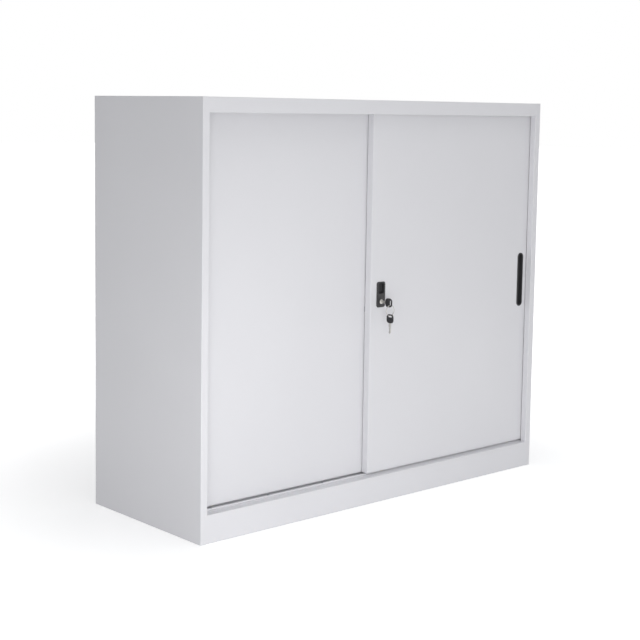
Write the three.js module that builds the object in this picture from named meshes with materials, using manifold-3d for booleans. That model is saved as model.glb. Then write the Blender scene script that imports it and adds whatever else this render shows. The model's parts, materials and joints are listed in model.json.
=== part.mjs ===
// A two-door sliding cabinet in folded sheet steel: millimetres, +Z up, front towards -Y.
// The carcass is centred on X and Y, and the whole group is moved back by half of what the
// keys reach in front of it, so that the origin lies under the middle of everything.

import * as THREE from 'three';
import { mergeVertices } from 'three/addons/utils/BufferGeometryUtils.js';
import Module from 'manifold-3d';

const wasm = await Module();
wasm.setup();

// Carcass, outside
const width = 1200;
const depth = 450;
const height = 1050;

// Sheet metal: the carcass, the doors, and the inside radius of every fold
const steel = 1;
const doorSteel = 0.75;
const foldRadius = 0.75;

// Clearance round a piece in its hole or groove, and how far a cut runs past its face
const fitGap = 0.3;
const overrun = 5;

// Side panels: the stile with its return, the flange at the back and the one under the foot
const stileWidth = 20;
const stileReturn = 18;
const sideRearFlange = 17;
const footFlange = 17;

// Top panel: the header and its hem, the other flanges
const headerHeight = 36;
const headerHem = 12;
const lidFlange = 20;

// Plinth and floor
const plinthHeight = 70;
const plinthHem = 24;
const plinthTopDepth = 75;
const floorFlange = 20;

// Back panel swages, pressed inwards
const swageOffset = 210;
const swageWidth = 24;
const swageDepth = 3;
const swageMargin = 110;

// Doors: pans with lips round the open back
const doorRecess = 20;
const doorDepth = 20;
const doorGap = 3;
const doorTuck = 8;
const doorOverlap = 80;
const doorTopGap = 7;
const doorLift = 2;
const doorLip = 12;

// Door stiffener, a hat channel behind the skin
const stiffenerWidth = 64;
const stiffenerCrown = 40;
const stiffenerDepth = 9;
const stiffenerMargin = 14;

// Bottom track: a base with two round-topped rails
const trackBase = 1.25;
const railRise = 4;
const railWidth = 2.5;
const trackMargin = 8;

// Top track: two grooves folded in one strip, set higher than the header's lower edge
const trackLift = 12;
const grooveWidth = 18;
const grooveDepth = 19;
const topTrackFront = 18;
const topTrackTail = 20;

// Rollers, their axles and brackets
const rollerInset = 60;
const treadRadius = 10;
const rollerFlange = 2;
const rollerWidth = 7;
const treadWidth = 3.5;
const rollerChamfer = 0.5;
const axleRadius = 2.5;
const axleHeadRadius = 4;
const axleHead = 1.25;
const bracketSteel = 1.25;
const bracketLength = 26;
const bracketFoot = 16;
const rollerSideGap = 0.75;
const rollerTopGap = 1;
const wheelSlotGap = 2;

// Nylon guides on the door tops
const guideLength = 28;
const guideSideGap = 1;
const guideFoot = 36;
const guideFootDepth = 18;
const guideFootHeight = 4;
const guideHeight = 22;
const guideChamfer = 2;

// Rubber buffers inside the side panels, set in from the ends of the doors' edges
const bufferInset = 168;
const bufferHeight = 34;
const bufferNose = 18;
const bufferDoorGap = 0.5;

// Slotted uprights
const uprightInset = 18;
const uprightRearInset = 35;
const uprightFlange = 7;
const uprightCrown = 18;
const uprightDepth = 10;
const slotWidth = 4.5;
const slotHeight = 14;
const slotPitch = 38;
const slotMargin = 40;

// Shelves, and how high above the floor panel the slots of their clips lie, to the nearest slot
const shelfEdge = 25;
const shelfLip = 12;
const shelfFrontGap = 10;
const shelfBackGap = 6;
const shelfSideGap = 2;
const lowerShelfRise = 306;
const upperShelfRise = 610;

// Shelf clips
const clipWidth = 16;
const clipReach = 16;
const clipPlate = 1.5;
const clipHeight = 20;
const clipNeck = 4;
const clipHookDrop = 5;
const clipNeckDrop = 12;
const clipRib = 2;

// Height of the lock plate's and handle's middle above the floor
const handHeight = 547.5;

// Flush pull handle
const handleInset = 33;
const handleWidth = 23.5;
const handleLength = 153.5;
const handlePlate = 1.5;
const handleRim = 1.75;
const handleWall = 1.5;
const handleDepth = 11.5;

// Lock housing with its finger recess
const lockInset = 36;
const lockPlateWidth = 30;
const lockPlateLength = 67;
const lockPlateThickness = 2.5;
const lockPlateCorner = 6;
const lockPlateRound = 0.75;
const lockAxisUp = 15;
const lockBodyInset = 2.5;
const lockBodyDepth = 9;
const lockBodyCorner = 4;
const fingerWidth = 20;
const fingerLength = 27;
const fingerTop = 4;
const fingerFloor = 2;
const fingerCorner = 5;

// Lock barrel, nut, plug, cam and cam screw
const barrelRadius = 8.25;
const bezelRadius = 9.5;
const bezelThickness = 1;
const nutAcross = 21;
const nutThickness = 2.75;
const plugRadius = 6;
const plugStand = 0.5;
const plugTail = 6;
const camHub = 8;
const camTip = 5;
const camReach = 23;
const camThickness = 2;
const screwHeadRadius = 4.5;
const screwHead = 2;
const screwRadius = 1.5;
const screwLength = 4;

// Keeper on the rear door
const keeperSteel = 1.5;
const keeperFoot = 26;
const keeperReach = 10.5;
const keeperLength = 14;
const keeperDrop = 20;
const keeperCamGap = 1.5;

// Keys and their ring
const bladeLength = 28;
const bladeHeight = 7;
const bladeThickness = 2;
const bladeInsertion = 13;
const bowLength = 23;
const bowHeight = 23;
const bowThickness = 3;
const bowCorner = 8;
const bowRound = 0.75;
const bowSlotWidth = 5;
const bowSlotLength = 14;
const bowSlotMargin = 3;
const ringRadius = 14;
const ringWireRadius = 0.9;
const ringSlack = 0.5;

// Depths of the key's cuts, as shares of the blade's height, and where they lie along it
const bittingShares = [0.3, 0.16, 0.4, 0.24];
const bittingStartShare = 0.42;
const bittingPitchShare = 0.12;
const bittingFlatShare = 0.3;

// Facets
const foldSteps = 3;
const cornerSteps = 5;
const halfTurnSteps = 10;
const pinSteps = 16;
const wheelSteps = 28;
const ringSteps = 40;
const wireSteps = 8;

// Stations worked out from the sizes above
const frontY = -depth / 2;
const backY = depth / 2;
const skinX = width / 2 - steel;
const openingX = width / 2 - stileWidth;
const stileFaceX = openingX + foldRadius + steel;
const lidUnderZ = height - steel;
const headerZ = height - headerHeight;
const doorBottomZ = plinthHeight + railRise + doorLift;
const trackLipZ = headerZ + trackLift;
const doorTopZ = trackLipZ - doorTopGap;
const doorHeight = doorTopZ - doorBottomZ;
const doorWidth = openingX + doorTuck + doorOverlap / 2;
const doorX = openingX + doorTuck - doorWidth / 2;
const frontDoorY = frontY + doorRecess;
const rearDoorY = frontDoorY + doorDepth + doorGap;
const frontRailY = frontDoorY + doorDepth / 2;
const rearRailY = rearDoorY + doorDepth / 2;
const floorFrontY = frontY + plinthTopDepth;
const sideBackY = backY - steel;
const uprightX = skinX - uprightDepth;
const uprightTopZ = lidUnderZ - lidFlange - steel;
const frontUprightY = floorFrontY + uprightInset;
const rearUprightY = backY - uprightRearInset;
const handZ = handHeight - doorBottomZ;
const lockZ = handZ - lockPlateLength / 2 + lockAxisUp;
const lockX = lockInset - doorWidth / 2;

const quarter = Math.PI / 2;

const paint = new THREE.MeshStandardMaterial({ color: 0xdcdfe4, roughness: 0.45, metalness: 0.1 });
const zinc = new THREE.MeshStandardMaterial({ color: 0xb4b8bc, roughness: 0.4, metalness: 0.9 });
const nickel = new THREE.MeshStandardMaterial({ color: 0xc9c7c1, roughness: 0.25, metalness: 1 });
const blackZinc = new THREE.MeshStandardMaterial({ color: 0x28292b, roughness: 0.4, metalness: 0.5 });
const blackPlastic = new THREE.MeshStandardMaterial({ color: 0x1b1c1e, roughness: 0.5, metalness: 0 });
const nylon = new THREE.MeshStandardMaterial({ color: 0xe9e7df, roughness: 0.5, metalness: 0 });
const rubber = new THREE.MeshStandardMaterial({ color: 0x26272a, roughness: 0.85, metalness: 0 });

// Exact turns: a shape drawn in X and Y is stood along another axis with no rounding
const drawnYZ = new THREE.Matrix4().set(0, 0, 1, 0, 1, 0, 0, 0, 0, 1, 0, 0, 0, 0, 0, 1);
const drawnXZ = new THREE.Matrix4().set(1, 0, 0, 0, 0, 0, -1, 0, 0, 1, 0, 0, 0, 0, 0, 1);
const frontFacesUp = new THREE.Matrix4().set(1, 0, 0, 0, 0, 0, 1, 0, 0, -1, 0, 0, 0, 0, 0, 1);

function block(x0, x1, y0, y1, z0, z1) {
  const box = new THREE.BoxGeometry(Math.abs(x1 - x0), Math.abs(y1 - y0), Math.abs(z1 - z0));
  return box.translate((x0 + x1) / 2, (y0 + y1) / 2, (z0 + z1) / 2);
}

function alongZ(shape, from, to) {
  const solid = new THREE.ExtrudeGeometry(shape, { depth: to - from, bevelEnabled: false });
  return solid.translate(0, 0, from);
}

function alongX(shape, from, to) {
  return alongZ(shape, from, to).applyMatrix4(drawnYZ);
}

function alongY(shape, from, to) {
  return alongZ(shape, -to, -from).applyMatrix4(drawnXZ);
}

// A round bar along Y
function rod(radius, from, to, steps) {
  const bar = new THREE.CylinderGeometry(radius, radius, to - from, steps);
  return bar.translate(0, (from + to) / 2, 0);
}

// A turned piece on the Y axis, from pairs of radius and station
function turned(profile, steps) {
  const points = profile.map(([radius, station]) => new THREE.Vector2(radius, station));
  return new THREE.LatheGeometry(points, steps);
}

function solidOf(geometry) {
  const bare = geometry.clone();
  bare.deleteAttribute('normal');
  bare.deleteAttribute('uv');
  const merged = mergeVertices(bare);
  const corners = merged.index.array;
  const kept = [];
  for (let i = 0; i < corners.length; i += 3) {
    const [a, b, c] = [corners[i], corners[i + 1], corners[i + 2]];
    if (a !== b && b !== c && c !== a) {
      kept.push(a, b, c);
    }
  }
  return new wasm.Manifold(new wasm.Mesh({
    numProp: 3,
    vertProperties: new Float32Array(merged.attributes.position.array),
    triVerts: new Uint32Array(kept),
  }));
}

function geometryOf(solid) {
  const mesh = solid.getMesh();
  const geometry = new THREE.BufferGeometry();
  geometry.setAttribute('position', new THREE.BufferAttribute(mesh.vertProperties, 3));
  geometry.setIndex(new THREE.BufferAttribute(mesh.triVerts, 1));
  geometry.computeVertexNormals();
  return geometry;
}

function joined(...pieces) {
  return geometryOf(pieces.map(solidOf).reduce((whole, piece) => whole.add(piece)));
}

function cut(body, ...tools) {
  return geometryOf(tools.map(solidOf).reduce((rest, tool) => rest.subtract(tool), solidOf(body)));
}

function shared(body, other) {
  return geometryOf(solidOf(body).intersect(solidOf(other)));
}

function arc(x, y, radius, start, end, steps) {
  return Array.from({ length: steps + 1 }, (_, i) => {
    const angle = start + ((end - start) * i) / steps;
    return new THREE.Vector2(x + radius * Math.cos(angle), y + radius * Math.sin(angle));
  });
}

function outline(points) {
  const corners = points.map((point) => (Array.isArray(point) ? new THREE.Vector2(...point) : point));
  return new THREE.Shape(corners);
}

function roundedRectangle(left, right, bottom, top, radius) {
  return outline([
    ...arc(right - radius, top - radius, radius, 0, quarter, cornerSteps),
    ...arc(left + radius, top - radius, radius, quarter, 2 * quarter, cornerSteps),
    ...arc(left + radius, bottom + radius, radius, 2 * quarter, 3 * quarter, cornerSteps),
    ...arc(right - radius, bottom + radius, radius, 3 * quarter, 4 * quarter, cornerSteps),
  ]);
}

// An upright slot shape with round ends, centred on zero
function stadium(breadth, length) {
  const radius = breadth / 2;
  const reach = length / 2 - radius;
  return outline([
    ...arc(0, reach, radius, 0, 2 * quarter, halfTurnSteps),
    ...arc(0, -reach, radius, 2 * quarter, 4 * quarter, halfTurnSteps),
  ]);
}

// The section of a folded sheet, from the middle line of its run; each corner gets a bend
function foldedSection(run, thickness) {
  const path = run.map(([x, y]) => new THREE.Vector2(x, y));
  const ways = path.slice(1).map((point, i) => point.clone().sub(path[i]).normalize());
  const leftOf = (way) => new THREE.Vector2(-way.y, way.x);
  const middleRadius = foldRadius + thickness / 2;
  const leftSide = [];
  const rightSide = [];
  const add = (point, normal) => {
    leftSide.push(point.clone().addScaledVector(normal, thickness / 2));
    rightSide.unshift(point.clone().addScaledVector(normal, -thickness / 2));
  };
  add(path[0], leftOf(ways[0]));
  for (let i = 1; i < path.length - 1; i += 1) {
    const turn = Math.atan2(ways[i - 1].cross(ways[i]), ways[i - 1].dot(ways[i]));
    const inward = Math.sign(turn) * middleRadius;
    const tangent = middleRadius * Math.tan(Math.abs(turn) / 2);
    const bendStart = path[i].clone().addScaledVector(ways[i - 1], -tangent);
    const centre = bendStart.addScaledVector(leftOf(ways[i - 1]), inward);
    for (let step = 0; step <= foldSteps; step += 1) {
      const normal = leftOf(ways[i - 1]).rotateAround(new THREE.Vector2(), (turn * step) / foldSteps);
      add(centre.clone().addScaledVector(normal, -inward), normal);
    }
  }
  add(path[path.length - 1], leftOf(ways[ways.length - 1]));
  return outline([...leftSide, ...rightSide]);
}

// A block whose front edges are rounded: X centred, Y and Z from zero
function roundFronted(blockWidth, blockDepth, blockHeight, radius) {
  const halfWidth = blockWidth / 2;
  const plan = outline([
    ...arc(radius - halfWidth, radius, radius, 2 * quarter, 3 * quarter, foldSteps),
    ...arc(halfWidth - radius, radius, radius, 3 * quarter, 4 * quarter, foldSteps),
    [halfWidth, blockDepth],
    [-halfWidth, blockDepth],
  ]);
  const side = outline([
    ...arc(radius, radius, radius, 2 * quarter, 3 * quarter, foldSteps),
    [blockDepth, 0],
    [blockDepth, blockHeight],
    ...arc(radius, blockHeight - radius, radius, quarter, 2 * quarter, foldSteps),
  ]);
  return shared(alongZ(plan, 0, blockHeight), alongX(side, -halfWidth, halfWidth));
}

// A folded pan, open at the back between its lips; a lip of one sheet leaves it fully open
function pan(panWidth, panDepth, panHeight, sheet, lip) {
  const outer = roundFronted(panWidth, panDepth, panHeight, foldRadius + sheet);
  const innerWidth = panWidth - 2 * sheet;
  const innerHeight = panHeight - 2 * sheet;
  const inner = roundFronted(innerWidth, panDepth - 2 * sheet, innerHeight, foldRadius);
  inner.translate(0, sheet, sheet);
  const edge = panWidth / 2 - lip;
  const mouth = block(-edge, edge, panDepth - 2 * sheet, panDepth + overrun, lip, panHeight - lip);
  return cut(outer, inner, mouth);
}

const cabinet = new THREE.Group();

function place(parent, name, geometry, material, x = 0, y = 0, z = 0) {
  const mesh = new THREE.Mesh(geometry, material);
  mesh.name = name;
  mesh.position.set(x, y, z);
  parent.add(mesh);
}

function groupAt(parent, x, y, z) {
  const group = new THREE.Group();
  group.position.set(x, y, z);
  parent.add(group);
  return group;
}

// Side skin, stile, stile return and rear flange are one folded sheet, with a foot flange. The
// return stops under the header and above the plinth, whose ends butt against the stile's face.
function sidePanel(side) {
  const skin = side * (width / 2 - steel / 2);
  const stileBack = side * (openingX + steel / 2);
  const section = foldedSection([
    [stileBack, frontY + stileReturn],
    [stileBack, frontY + steel / 2],
    [skin, frontY + steel / 2],
    [skin, sideBackY - steel / 2],
    [side * (width / 2 - sideRearFlange), sideBackY - steel / 2],
  ], steel);
  const footInner = side * (skinX - footFlange);
  const footFrontY = frontY + stileReturn + 2 * steel;
  const foot = block(side * (width / 2), footInner, footFrontY, sideBackY - steel, 0, steel);
  const notch = (low, high) => block(
    side * (openingX - overrun),
    side * stileFaceX,
    frontY - overrun,
    frontY + stileReturn + overrun,
    low,
    high,
  );
  const sheet = joined(alongZ(section, 0, lidUnderZ), foot);
  return cut(sheet, notch(-overrun, plinthHeight), notch(headerZ, height + overrun));
}

function backPanel() {
  const sheet = block(-width / 2, width / 2, sideBackY, backY, 0, lidUnderZ);
  const swageLength = lidUnderZ - 2 * swageMargin;
  const swageZ = lidUnderZ / 2;
  const outside = alongY(stadium(swageWidth, swageLength), sideBackY - swageDepth, backY);
  const hollow = stadium(swageWidth - 2 * steel, swageLength - 2 * steel);
  const inside = alongY(hollow, backY - swageDepth, backY + overrun);
  const places = [-swageOffset, swageOffset];
  const pressed = places.map((x) => outside.clone().translate(x, 0, swageZ));
  const hollows = places.map((x) => inside.clone().translate(x, 0, swageZ));
  return cut(joined(sheet, ...pressed), ...hollows);
}

// The header hangs between the stiles' faces; the lid itself covers sides and back
function topPanel() {
  const hemEnd = frontY + headerHem;
  const section = foldedSection([
    [hemEnd, headerZ + steel / 2],
    [frontY + steel / 2, headerZ + steel / 2],
    [frontY + steel / 2, height - steel / 2],
    [sideBackY - steel / 2, height - steel / 2],
    [sideBackY - steel / 2, lidUnderZ - lidFlange],
  ], steel);
  const middle = alongX(section, -stileFaceX, stileFaceX);
  const bend = foldRadius + steel;
  const cover = block(-width / 2, width / 2, frontY + bend, backY, lidUnderZ, height);
  const flangeBackY = sideBackY - 2 * steel;
  const flangeZ = lidUnderZ - lidFlange;
  const ends = [-1, 1].map((side) => joined(
    block(side * stileFaceX, side * (width / 2), frontY, frontY + 2 * bend, lidUnderZ, height),
    block(side * skinX, side * (skinX - steel), frontDoorY, flangeBackY, flangeZ, height),
  ));
  return joined(cover, middle, ...ends);
}

// A folded apron whose long top return carries the bottom track, with ears behind the stiles
function frontPlinth() {
  const section = foldedSection([
    [frontY + plinthHem, steel / 2],
    [frontY + steel / 2, steel / 2],
    [frontY + steel / 2, plinthHeight - steel / 2],
    [floorFrontY - steel / 2, plinthHeight - steel / 2],
    [floorFrontY - steel / 2, plinthHeight - floorFlange],
  ], steel);
  const earFrontY = frontY + stileReturn + steel;
  const earBackY = floorFrontY - foldRadius - steel;
  const ears = block(-skinX, skinX, earFrontY, earBackY, plinthHeight - steel, plinthHeight);
  return joined(alongX(section, -stileFaceX, stileFaceX), ears);
}

function floorPanel() {
  const floorDepth = sideBackY - steel - foldRadius - floorFrontY;
  return pan(2 * skinX, floorFlange, floorDepth, steel, steel).applyMatrix4(frontFacesUp);
}

function topTrack() {
  const lipZ = trackLipZ + steel / 2;
  const roofZ = lipZ + grooveDepth;
  const wall = grooveWidth / 2 + steel / 2;
  const groove = (railY) => [
    [railY - wall, lipZ],
    [railY - wall, roofZ],
    [railY + wall, roofZ],
    [railY + wall, lipZ],
  ];
  const headerBackY = frontY + steel + steel / 2;
  const hangerY = rearRailY + grooveWidth;
  const section = foldedSection([
    [headerBackY, lipZ + topTrackFront],
    [headerBackY, lipZ],
    ...groove(frontRailY),
    ...groove(rearRailY),
    [hangerY, lipZ],
    [hangerY, lidUnderZ - steel / 2],
    [hangerY + topTrackTail, lidUnderZ - steel / 2],
  ], steel);
  return alongX(section, -openingX, openingX);
}

function bottomTrack() {
  const rail = (railY) => [
    [railY - railWidth / 2, trackBase],
    ...arc(railY, railRise - railWidth / 2, railWidth / 2, 2 * quarter, 0, cornerSteps),
    [railY + railWidth / 2, trackBase],
  ];
  const section = outline([
    [frontRailY - trackMargin, 0],
    [frontRailY - trackMargin, trackBase],
    ...rail(frontRailY),
    ...rail(rearRailY),
    [rearRailY + trackMargin, trackBase],
    [rearRailY + trackMargin, 0],
  ]);
  return alongX(section, steel - skinX, skinX - steel);
}

// A rubber wedge with a blunt nose that both door edges meet
function doorBuffer(side) {
  const reach = skinX - openingX - doorTuck - bufferDoorGap;
  const section = outline([
    [side * skinX, -bufferHeight / 2],
    [side * skinX, bufferHeight / 2],
    [side * (skinX - reach), bufferNose / 2],
    [side * (skinX - reach), -bufferNose / 2],
  ]);
  return alongY(section, frontDoorY, rearDoorY + doorDepth);
}

// The places of the slots' lower edges above the floor panel
function slotPlaces() {
  const room = uprightTopZ - plinthHeight - 2 * slotMargin;
  const count = Math.floor(room / slotPitch) + 1;
  return Array.from({ length: count }, (_, i) => slotMargin + i * slotPitch);
}

function upright(side) {
  const against = side * (skinX - steel / 2);
  const crown = side * (uprightX + steel / 2);
  const flangeY = uprightCrown / 2 + uprightFlange;
  const crownY = (uprightCrown - steel) / 2;
  const section = foldedSection([
    [against, -flangeY],
    [against, -crownY],
    [crown, -crownY],
    [crown, crownY],
    [against, crownY],
    [against, flangeY],
  ], steel);
  const post = alongZ(section, 0, uprightTopZ - plinthHeight);
  const half = slotWidth / 2;
  const outside = side * (uprightX - steel);
  const inside = side * (uprightX + 2 * steel);
  const slots = slotPlaces().map((z) => block(outside, inside, -half, half, z, z + slotHeight));
  return cut(post, ...slots);
}

function nearestSlot(rise) {
  return slotMargin + Math.round((rise - slotMargin) / slotPitch) * slotPitch;
}

function shelf() {
  const shelfWidth = 2 * (uprightX - shelfSideGap);
  const shelfDepth = sideBackY - swageDepth - shelfBackGap - (floorFrontY + shelfFrontGap);
  return pan(shelfWidth, shelfEdge, shelfDepth, steel, shelfLip).applyMatrix4(frontFacesUp);
}

// A hooked bracket: its tongue carries the shelf, its neck rests on the slot's lower edge
function shelfClip(side) {
  const half = clipWidth / 2;
  const neckHalf = (slotWidth - 2 * fitGap) / 2;
  const hookX = -(steel + fitGap + clipPlate);
  const tongue = block(0, side * -clipReach, -half, half, -clipRib, 0);
  const plate = block(0, side * -clipPlate, -half, half, -clipHeight, 0);
  const rib = alongY(outline([
    [side * -clipPlate / 2, -clipRib / 2],
    [side * -(clipReach - clipRib), -clipRib / 2],
    [side * -clipPlate / 2, -(clipHeight - clipRib)],
  ]), -clipRib / 2, clipRib / 2);
  const neckLow = fitGap - clipNeckDrop;
  const neckHigh = neckLow + clipNeck;
  const neck = block(side * -clipPlate / 2, side * -hookX, -neckHalf, neckHalf, neckLow, neckHigh);
  const hookInner = side * (steel + fitGap);
  const hookLow = neckLow - clipHookDrop;
  const hook = block(hookInner, side * -hookX, -neckHalf, neckHalf, hookLow, neckHigh);
  return joined(tongue, plate, rib, neck, hook);
}

function doorStiffener() {
  const near = doorSteel / 2 + doorSteel;
  const far = stiffenerDepth + doorSteel / 2;
  const section = foldedSection([
    [-stiffenerWidth / 2, near],
    [-stiffenerCrown / 2, near],
    [-stiffenerCrown / 2, far],
    [stiffenerCrown / 2, far],
    [stiffenerCrown / 2, near],
    [stiffenerWidth / 2, near],
  ], doorSteel);
  return alongZ(section, stiffenerMargin, doorHeight - stiffenerMargin);
}

// Roller stations in the door's own frame
const rollerX = doorWidth / 2 - rollerInset;
const rollerY = doorDepth / 2;
const rollerZ = treadRadius - doorLift + fitGap;
const rollerRadius = treadRadius + rollerFlange;
const cheekY = rollerWidth / 2 + rollerSideGap;

function roller() {
  const half = rollerWidth / 2;
  const treadHalf = treadWidth / 2;
  const lipHalf = treadHalf + rollerChamfer;
  const bore = axleRadius + fitGap;
  return turned([
    [bore, -half],
    [rollerRadius - rollerChamfer, -half],
    [rollerRadius, rollerChamfer - half],
    [rollerRadius, -lipHalf],
    [treadRadius, -treadHalf],
    [treadRadius, treadHalf],
    [rollerRadius, lipHalf],
    [rollerRadius, half - rollerChamfer],
    [rollerRadius - rollerChamfer, half],
    [bore, half],
    [bore, -half],
  ], wheelSteps);
}

function rollerAxle() {
  const shoulder = cheekY + bracketSteel + fitGap;
  const end = shoulder + axleHead;
  return turned([
    [0, -end],
    [axleHeadRadius, -end],
    [axleHeadRadius, -shoulder],
    [axleRadius, -shoulder],
    [axleRadius, shoulder],
    [axleHeadRadius, shoulder],
    [axleHeadRadius, end],
    [0, end],
  ], pinSteps);
}

// A hat bracket over the roller, standing on the door's lower return
function rollerBracket() {
  const footZ = doorSteel + bracketSteel / 2 - rollerZ;
  const roofZ = rollerRadius + rollerTopGap + bracketSteel / 2;
  const cheek = cheekY + bracketSteel / 2;
  const section = foldedSection([
    [-bracketFoot / 2, footZ],
    [-cheek, footZ],
    [-cheek, roofZ],
    [cheek, roofZ],
    [cheek, footZ],
    [bracketFoot / 2, footZ],
  ], bracketSteel);
  const body = alongX(section, -bracketLength / 2, bracketLength / 2);
  return cut(body, rod(axleRadius + fitGap, -bracketFoot, bracketFoot, pinSteps));
}

function topGuide() {
  const breadth = grooveWidth - 2 * guideSideGap;
  const foot = alongZ(stadium(guideFootDepth, guideFoot), 0, guideFootHeight);
  const tongue = alongZ(stadium(breadth, guideLength), 0, guideHeight - guideChamfer);
  const nose = stadium(breadth - 2 * guideChamfer, guideLength - 2 * guideChamfer);
  return joined(foot, tongue, alongZ(nose, 0, guideHeight)).rotateZ(quarter);
}

// The front door has holes for the handle and the lock; both doors have roller slots
function doorPan(extraCuts) {
  const slotX = rollerRadius + wheelSlotGap;
  const slotY = rollerWidth / 2 + rollerSideGap;
  const slots = [-rollerX, rollerX].map((x) => block(
    x - slotX,
    x + slotX,
    rollerY - slotY,
    rollerY + slotY,
    -overrun,
    2 * doorSteel,
  ));
  return cut(pan(doorWidth, doorDepth, doorHeight, doorSteel, doorLip), ...slots, ...extraCuts);
}

const handleX = doorWidth / 2 - handleInset;

function handleCut() {
  const rim = 2 * (handleRim - fitGap);
  const hole = stadium(handleWidth - rim, handleLength - rim);
  return alongY(hole, -overrun, 2 * doorSteel).translate(handleX, 0, handZ);
}

function flushHandle() {
  const bodyRim = 2 * handleRim;
  const pocketRim = 2 * (handleRim + handleWall);
  const plate = alongY(stadium(handleWidth, handleLength), -handlePlate, 0);
  const body = alongY(stadium(handleWidth - bodyRim, handleLength - bodyRim), -handlePlate, handleDepth);
  const pocket = stadium(handleWidth - pocketRim, handleLength - pocketRim);
  return cut(joined(plate, body), alongY(pocket, -handlePlate - overrun, handleDepth - handleWall));
}

// Lock stations, from the door's face at Y zero and the barrel's axis
const lockLow = -lockAxisUp;
const lockHigh = lockPlateLength - lockAxisUp;
const bezelFaceY = -(lockPlateThickness + fitGap + bezelThickness);
const plugFaceY = bezelFaceY - plugStand;
const nutY = lockBodyDepth + fitGap;
const barrelEndY = nutY + nutThickness;
const tailY = barrelEndY + fitGap;
const camY = tailY + fitGap;
const screwY = camY + camThickness + fitGap;

function lockBodyOutline(grown) {
  const half = lockPlateWidth / 2 - lockBodyInset + grown;
  const low = lockLow + lockBodyInset - grown;
  const high = lockHigh - lockBodyInset + grown;
  return roundedRectangle(-half, half, low, high, lockBodyCorner + grown);
}

function lockCut() {
  return alongY(lockBodyOutline(fitGap), -overrun, 2 * doorSteel).translate(lockX, 0, lockZ);
}

function lockHousing() {
  const half = lockPlateWidth / 2;
  const face = new THREE.ExtrudeGeometry(
    roundedRectangle(-half, half, lockLow, lockHigh, lockPlateCorner),
    {
      depth: lockPlateThickness,
      bevelThickness: lockPlateRound,
      bevelSize: lockPlateRound,
      bevelOffset: -lockPlateRound,
      bevelSegments: 2,
    },
  ).translate(0, 0, -lockPlateRound / 2).applyMatrix4(drawnXZ);
  face.translate(0, lockPlateRound / 2, 0);
  const slab = block(-half, half, -lockPlateThickness, 0, lockLow, lockHigh);
  const plate = shared(face, slab);
  const body = alongY(lockBodyOutline(0), -lockPlateThickness / 2, lockBodyDepth);
  const recessHigh = lockHigh - fingerTop;
  const recess = roundedRectangle(
    -fingerWidth / 2,
    fingerWidth / 2,
    recessHigh - fingerLength,
    recessHigh,
    fingerCorner,
  );
  return cut(
    joined(plate, body),
    alongY(recess, -lockPlateThickness - overrun, lockBodyDepth - fingerFloor),
    rod(barrelRadius + fitGap, -lockPlateThickness - overrun, lockBodyDepth + overrun, wheelSteps),
  );
}

function lockBarrel() {
  const bore = plugRadius + fitGap;
  const seatY = bezelFaceY + bezelThickness;
  return turned([
    [bore, bezelFaceY],
    [bezelRadius, bezelFaceY],
    [bezelRadius, seatY],
    [barrelRadius, seatY],
    [barrelRadius, barrelEndY],
    [bore, barrelEndY],
    [bore, bezelFaceY],
  ], wheelSteps);
}

function lockNut() {
  const hexagon = rod(nutAcross / Math.sqrt(3), nutY, barrelEndY, 6);
  return cut(hexagon, rod(barrelRadius + fitGap, nutY - overrun, barrelEndY + overrun, wheelSteps));
}

function lockPlug() {
  const tailHalf = plugTail / 2;
  const tail = block(-tailHalf, tailHalf, tailY - tailHalf, screwY - fitGap / 2, -tailHalf, tailHalf);
  const keyHalf = bladeThickness / 2 + fitGap;
  const keyHigh = bladeHeight / 2 + fitGap;
  const keyEnd = plugFaceY + bladeInsertion + fitGap;
  const keyway = block(-keyHalf, keyHalf, plugFaceY - overrun, keyEnd, -keyHigh, keyHigh);
  const screwHole = rod(screwRadius + fitGap, screwY - screwLength - fitGap, screwY + overrun, pinSteps);
  return cut(joined(rod(plugRadius, plugFaceY, tailY, wheelSteps), tail), keyway, screwHole);
}

// Two circles and their common tangents, pointing along +X
function lockCam() {
  const lean = Math.asin((camHub - camTip) / camReach);
  const section = outline([
    ...arc(camReach, 0, camTip, lean - quarter, quarter - lean, halfTurnSteps),
    ...arc(0, 0, camHub, quarter - lean, 3 * quarter + lean, halfTurnSteps),
  ]);
  const half = plugTail / 2 + fitGap;
  const square = block(-half, half, camY - overrun, camY + camThickness + overrun, -half, half);
  return cut(alongY(section, camY, camY + camThickness), square);
}

function camScrew() {
  return turned([
    [0, screwY - screwLength],
    [screwRadius, screwY - screwLength],
    [screwRadius, screwY],
    [screwHeadRadius, screwY],
    [screwHeadRadius, screwY + screwHead],
    [0, screwY + screwHead],
  ], pinSteps);
}

// An angle on the rear door that reaches forward into the front door's hollow
function keeper() {
  const section = foldedSection([
    [-keeperFoot, -keeperSteel / 2],
    [-keeperSteel / 2, -keeperSteel / 2],
    [-keeperSteel / 2, -keeperReach],
  ], keeperSteel);
  return alongZ(section, -keeperLength / 2, keeperLength / 2);
}

// A key lies along Y with the middle of its bow's slot at the origin and its tip at +Y
const bowEndY = -(bowSlotMargin + bowSlotWidth / 2);
const bowStartY = bowEndY + bowLength;
const keyTipY = bowStartY + bladeLength;

function keyBow() {
  const face = roundedRectangle(bowEndY, bowStartY, -bowHeight / 2, bowHeight / 2, bowCorner);
  const body = new THREE.ExtrudeGeometry(face, {
    depth: bowThickness - 2 * bowRound,
    bevelThickness: bowRound,
    bevelSize: bowRound,
    bevelOffset: -bowRound,
    bevelSegments: 2,
  });
  body.translate(0, 0, bowRound - bowThickness / 2).applyMatrix4(drawnYZ);
  return cut(body, alongX(stadium(bowSlotWidth, bowSlotLength), -bowThickness, bowThickness));
}

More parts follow.
